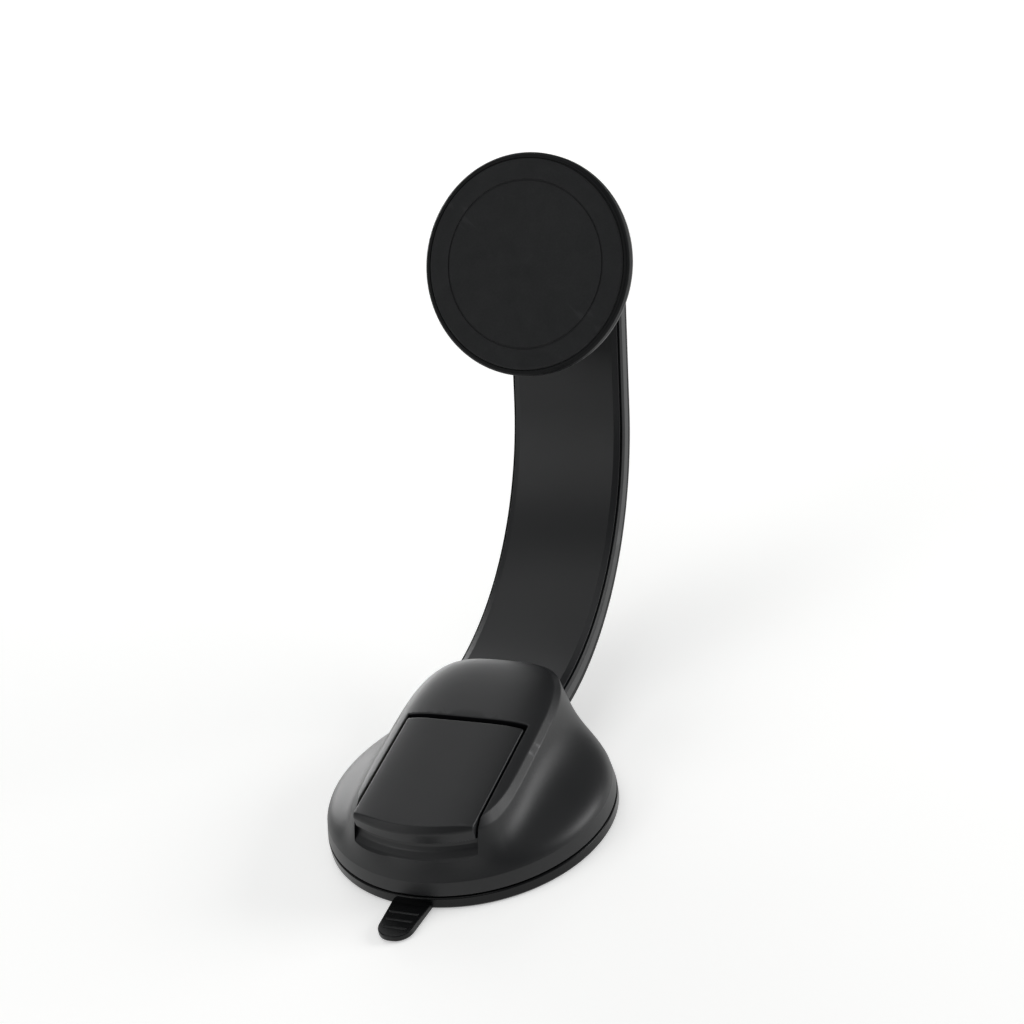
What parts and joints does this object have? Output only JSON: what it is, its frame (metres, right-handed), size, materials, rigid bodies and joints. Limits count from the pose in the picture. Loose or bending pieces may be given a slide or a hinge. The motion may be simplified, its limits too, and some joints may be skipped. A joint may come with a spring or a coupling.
{
  "type": "car phone mount",
  "caption": "Car phone mount with a lever-locked suction base, a curved flat strap arm and a round magnetic head on a ball joint.",
  "frame": {"origin": "centre of the suction cup on its suction face", "axes": "+Z away from the surface it sticks to, -Y towards the driver, where the pull tab points and the head faces, +X to the driver's right"},
  "size_m": [0.0734, 0.1666, 0.1388],
  "materials": {
    "cup_tpu": "satin soft rubber",
    "soft_abs": "fine matte soft-touch",
    "nylon": "moulded, low sheen",
    "pom": "smooth",
    "steel": "plated",
    "spring_steel": "drawn wire",
    "magnet_nickel": "nickel plate",
    "silicone": "smooth silicone"
  },
  "bodies": {
    "stand": {"suction_cup": "cup_tpu", "return_spring": "spring_steel", "base_plate": "nylon", "base_screws": "steel", "base_housing": "soft_abs", "cam_plate": "steel", "arm_frame": "nylon", "arm_front_panel": "soft_abs", "arm_rear_cover": "soft_abs", "arm_screws": "steel", "ball_stud": "steel", "stud_nut": "steel"},
    "stem": {"cup_stem": "nylon"},
    "lever": {"lever": "soft_abs", "lever_pin": "steel"},
    "liner": {"socket_liner": "pom"},
    "socket": {"socket_housing": "nylon"},
    "collar": {"lock_collar": "nylon"},
    "head": {"head_shell": "soft_abs", "shunt_plate": "steel", "magnet_carrier": "nylon", "ring_magnets": "magnet_nickel", "head_screws": "steel", "front_ring": "soft_abs", "silicone_pad": "silicone"}
  },
  "joints": [
    {"name": "stem_slide", "type": "slide", "parent": "stand", "child": "stem", "axis": [0, 0, -1], "range_m": [0, 0.002], "deforming": ["suction_cup", "return_spring"]},
    {"name": "lever_hinge", "type": "hinge", "parent": "stem", "child": "lever", "pos_m": [0, 0, 0.01945], "axis": [-1, 0, 0], "range_deg": [0, 80]},
    {"name": "ball_pitch", "type": "hinge", "parent": "stand", "child": "liner", "pos_m": [0, 0.09341, 0.10826], "axis": [1, 0, 0], "range_deg": [-16, 34]},
    {"name": "ball_yaw", "type": "hinge", "parent": "liner", "child": "socket", "pos_m": [0, 0.09341, 0.10826], "axis": [0, 0.4524, 0.8918], "range_deg": [-20, 20]},
    {"name": "collar_turn", "type": "hinge", "parent": "socket", "child": "collar", "pos_m": [0, 0.09341, 0.10826], "axis": [0, -0.8918, 0.4524], "range_deg": [0, 90]},
    {"name": "head_spin", "type": "hinge", "parent": "socket", "child": "head", "pos_m": [0, 0.09341, 0.10826], "axis": [0, -0.8918, 0.4524], "continuous": true}
  ],
  "couplings": [
    {"joint": "stem_slide", "follows": "lever_hinge", "m_per_rad": 0.001335}
  ]
}
